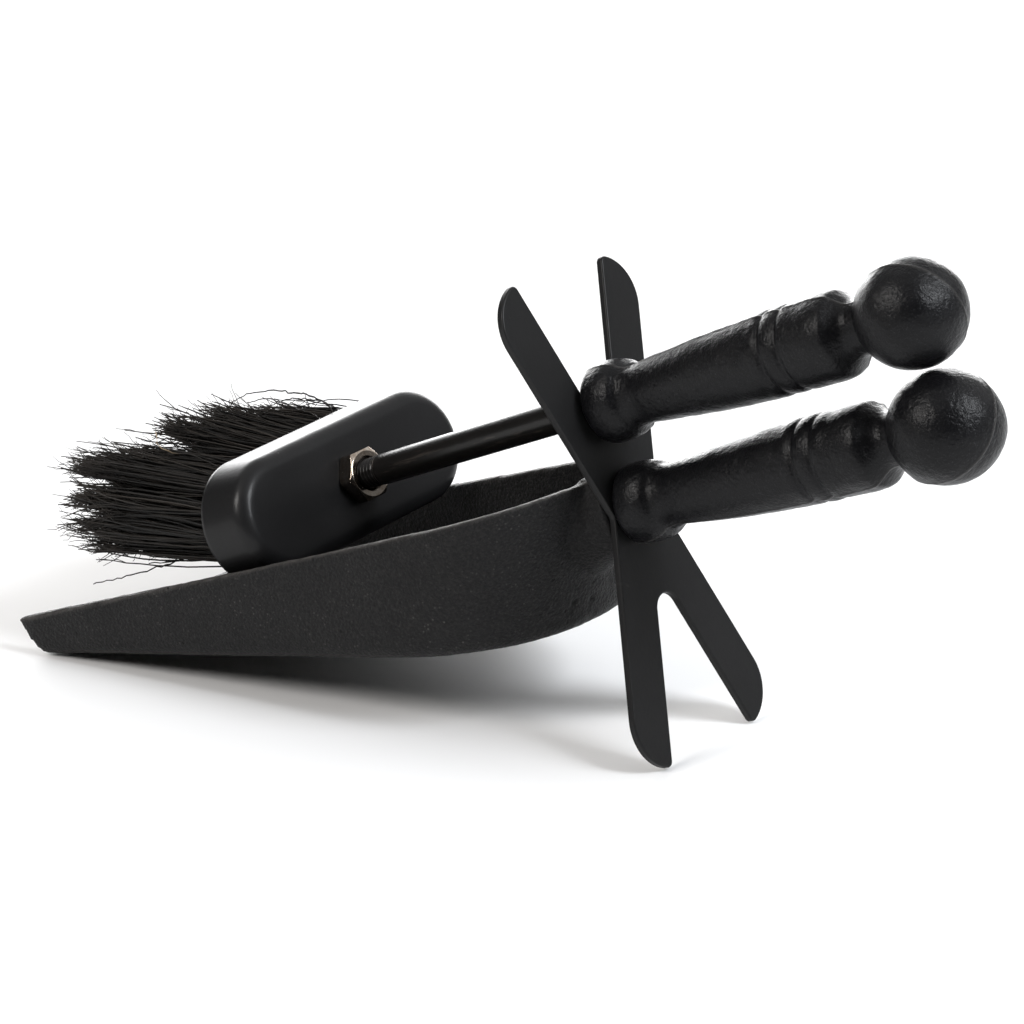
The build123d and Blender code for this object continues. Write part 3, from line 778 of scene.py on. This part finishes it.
# Single fibres that have left the bundle, by row, each as points in the brush's frame.
STRAYS = {
    3: [[(-127, 22, 12), (-129, 21, 21.5), (-138, 25, 26.5), (-154, 31, 30.5), (-171, 37, 32.8),
         (-188, 42, 33.5), (-199, 45, 31.5), (-203, 46, 27.5), (-202, 46, 24)],
        [(-127, 30, 12), (-134, 30, 20), (-150, 36, 25), (-168, 42, 27.5), (-184, 45, 27)],
        [(-127, 16, 12), (-134, 20, 19), (-152, 28, 25.5), (-170, 36, 30), (-186, 40, 31)]],
    0: [[(-127, -36, -12), (-134, -39, -7), (-146, -42, -4.5), (-163, -45, -4.5), (-186, -48, -3.5),
         (-192, -49, -3.2)],
        [(-127, -30, -12), (-138, -33, -8), (-155, -37, -6), (-172, -40, -3)],
        [(-127, -22, -12), (-140, -26, -8.5), (-158, -29, -6.5), (-176, -30, -5)]],
}
STRAW = [(-130, -26, 13), (-146, -29, 25.5), (-154, -30, 29), (-158, -30, 33), (-156, -30, 36.5)]


def row_paths(rng, row, t):
    """The row's fibres from root to tip at each share t of the way, bowed and a little kinked."""
    tufts = [tuft_fibres(rng, y, z) for y, z in tuft_spots(row)]
    root, tip = (np.vstack(ends) for ends in zip(*tufts))
    way = tip - root
    paths = root[:, None, :] + way[:, None, :] * t[None, :, None]
    bow = rng.normal(0, 2.9, (len(root), 2))
    lean = t ** (0.85 + 0.1 * row)
    paths[:, :, 1:] = (root[:, None, 1:] + way[:, None, 1:] * lean[None, :, None]
                       + bow[:, None, :] * (t * (1 - t) * 2)[None, :, None])
    kink = rng.normal(0, 1, (len(root), len(t), 2))
    paths[:, :, 1:] += kink * (0.06 + 0.45 * t ** 4)[None, :, None]
    return paths


def fibre_row(row, material):
    """One row of tufts as separate fibres, with frayed ends and a few strays."""
    rng = np.random.default_rng(900 + row)
    t = np.linspace(0, 1, FIBRE_POINTS)
    paths = row_paths(rng, row, t)
    thick = rng.uniform(0.20, 0.36, len(paths))
    radii = thick[:, None] * (1.0 - 0.45 * t ** 3)[None, :]
    # each fibre's tone: random, with a few lighter ones as painted sheen
    tone_and_sheen = rng.uniform(0, 1, len(paths)) ** 2.2
    parts = [(paths, radii, tone_and_sheen, t, 0.0)] + frayed(rng, paths, thick, tone_and_sheen)
    parts += [stray(rng, way, 0.38) for way in STRAYS.get(row, [])]
    if row == 3:
        parts.append(stray(rng, STRAW, 0.34, 1.0))
    verts, faces, tones_and_sheens, tips, straws = [], [], [], [], []
    count = 0
    for path, radius, dark, share, straw in parts:
        v, quads, caps = tubes(path, radius)
        verts.append(v)
        faces += (quads + count).tolist() + (caps + count).tolist()
        count += len(v)
        tones_and_sheens.append(np.repeat(dark, path.shape[1] * SIDES))
        tips.append(np.tile(np.repeat(share, SIDES), len(path)))
        straws.append(np.tile(np.repeat(straw * np.ones(path.shape[1]), SIDES), len(path)))
    made = piece("bristles_%d" % (row + 1), np.vstack(verts), faces, BRUSH, material, "brush",
                 ["bristle_row_%d" % (row + 1)])
    store(made, "tone_and_sheen", np.concatenate(tones_and_sheens))
    store(made, "tip", np.clip((np.concatenate(tips) - 0.72) / 0.28, 0, 1) ** 1.5 * 0.55)
    store(made, "straw", np.concatenate(straws))


# ------------------------------------------------------------------ build the object
iron, grip_iron = cast_pan_paint(), cast_handle_paint()
cast_pan(iron)
handle("grip_pan", PAN_BALL_R, 0.0, -35.0, 11, TOOL, "shovel", "shovel_handle", grip_iron)
handle("grip_brush", BRUSH_BALL_R, COLLAR_GAP, 20.6, 23, BRUSH, "brush", "brush_handle", grip_iron)
shaft(rod_paint())
locknut(nickel())
pressed_cap(sheet_paint("cap_black", (0.0075, 0.0075, 0.0080), (0.0105, 0.0102, 0.0107),
                        rough=0.45, streak_turn=0.0, coat=0.14))
bristle_look = fibre()
for row in range(4):
    fibre_row(row, bristle_look)

# these nodes keep their CAD shape and get a better material
plate_look = sheet_paint("plate_black", (0.0085, 0.0084, 0.0086), (0.0120, 0.0118, 0.0121),
                         rough=0.46, streak_turn=0.6, coat=0.1)
metal, beech = zinc(), wood()
for node, look in (("stand_plate", plate_look), ("shovel_stud", metal), ("brush_inner_washer", metal),
                   ("brush_inner_nut", metal), ("brush_core", beech)):
    mesh = frame["nodes"][node].data
    mesh.materials.clear()
    mesh.materials.append(look)

# ------------------------------------------------------------------ stage
FLOOR_HALF, FLOOR_DROP = 6.0, 0.0003          # m
GLOW_START, GLOW_FULL, GLOW = 0.8, 1.8, 0.75  # the floor's glow far from the object
WORLD_DARK, WORLD_LIGHT = 0.01, 0.15          # the world's strength, from -Y to +Y
WORLD_SEEN = 1.0                              # and as a plain backdrop

corners = [(-FLOOR_HALF, -FLOOR_HALF, 0), (FLOOR_HALF, -FLOOR_HALF, 0),
           (FLOOR_HALF, FLOOR_HALF, 0), (-FLOOR_HALF, FLOOR_HALF, 0)]
floor_mesh = bpy.data.meshes.new("floor")
floor_mesh.from_pydata(corners, [], [(0, 1, 2, 3)])
floor = bpy.data.objects.new("floor", floor_mesh)
floor.location.z = -FLOOR_DROP
bpy.context.scene.collection.objects.link(floor)
pale = Paint("floor_pale", roughness=0.9, specular=0.2, colour=(0.86, 0.86, 0.86))
# the floor glows a little far out, where the lamps don't reach, so it fades into the pale world
from_middle = pale.node("ShaderNodeVectorMath", {0: pale.at}, operation="LENGTH").outputs["Value"]
pale.drive("Emission Strength", pale.span(from_middle, GLOW_START, GLOW_FULL, 0.0, GLOW))
pale.shader.inputs["Emission Color"].default_value = (1, 1, 1, 1)
floor_mesh.materials.append(pale.material)

world = bpy.data.worlds.new("studio")
bpy.context.scene.world = world
world.use_nodes = True
sky = world.node_tree
background = sky.nodes["Background"]
background.inputs["Color"].default_value = (1, 1, 1, 1)
axes = sky.nodes.new("ShaderNodeSeparateXYZ")
sky.links.new(sky.nodes.new("ShaderNodeTexCoord").outputs["Generated"], axes.inputs[0])
ramp = sky.nodes.new("ShaderNodeMapRange")
ramp.interpolation_type = "SMOOTHSTEP"
for key, value in (("From Min", -0.25), ("From Max", 0.75),
                   ("To Min", WORLD_DARK), ("To Max", WORLD_LIGHT)):
    ramp.inputs[key].default_value = value
sky.links.new(axes.outputs["Y"], ramp.inputs["Value"])
pick = sky.nodes.new("ShaderNodeMix")
pick.inputs["B"].default_value = WORLD_SEEN
sky.links.new(sky.nodes.new("ShaderNodeLightPath").outputs["Is Camera Ray"], pick.inputs["Factor"])
sky.links.new(ramp.outputs["Result"], pick.inputs["A"])
sky.links.new(pick.outputs["Result"], background.inputs["Strength"])

# Camera in the tool frame: where it stands, and its backward, upward and rightward directions.
CAMERA_AT = (594.1, -702.4, 76.5)
CAMERA_BACK = (0.673307, -0.735806, 0.072435)
CAMERA_UP = (0.184666, 0.262224, 0.947173)
CAMERA_RIGHT = (0.71593, 0.624362, -0.312435)
LENS, SENSOR = 108.35, 36.0
view = Matrix((CAMERA_RIGHT, CAMERA_UP, CAMERA_BACK)).transposed().to_4x4()
view.translation = Vector(CAMERA_AT) * MM
camera = bpy.data.objects.new("camera", bpy.data.cameras.new("camera"))
camera.data.lens = LENS
camera.data.sensor_width = SENSOR
camera.data.clip_start, camera.data.clip_end = 0.05, 50.0
camera.matrix_world = TOOL @ view
bpy.context.scene.collection.objects.link(camera)
bpy.context.scene.camera = camera


def softbox(name, way, distance, size, power, tint):
    """Area light seen from the object along a camera-frame direction (right, up, back)."""
    light = bpy.data.lights.new(name, "AREA")
    light.shape = "RECTANGLE"
    light.size, light.size_y = size
    light.energy = power
    light.color = tint
    lamp = bpy.data.objects.new(name, light)
    bpy.context.scene.collection.objects.link(lamp)
    middle = (cad_low + cad_high) / 2
    away = (camera.matrix_world.to_3x3() @ Vector(way)).normalized()
    lamp.location = middle + away * distance
    lamp.rotation_mode = "QUATERNION"
    lamp.rotation_quaternion = away.to_track_quat("Z", "Y")
    lamp.visible_camera = False


# direction, distance and size in metres, power in watts, colour
softbox("box_left", (-0.704, 0.44, 0.549), 1.5, (0.5, 0.6), 14.0, (1.0, 0.97, 0.94))
softbox("box_right", (0.639, 0.514, 0.573), 1.5, (0.5, 0.7), 21.0, (0.93, 0.96, 1.0))
softbox("box_back", (-0.07, 0.45, -0.90), 1.8, (2.0, 0.7), 38.0, (1.0, 1.0, 1.0))
OVERHEAD_POWER, OVERHEAD_SPREAD_DEG, OVERHEAD_TILT_DEG = 1.3, 110, -25
sun = bpy.data.lights.new("overhead", "SUN")
sun.energy = OVERHEAD_POWER
sun.angle = math.radians(OVERHEAD_SPREAD_DEG)
overhead = bpy.data.objects.new("overhead", sun)
overhead.rotation_euler = (math.radians(OVERHEAD_TILT_DEG), 0, 0)
bpy.context.scene.collection.objects.link(overhead)

bpy.context.scene.view_settings.view_transform = "Standard"
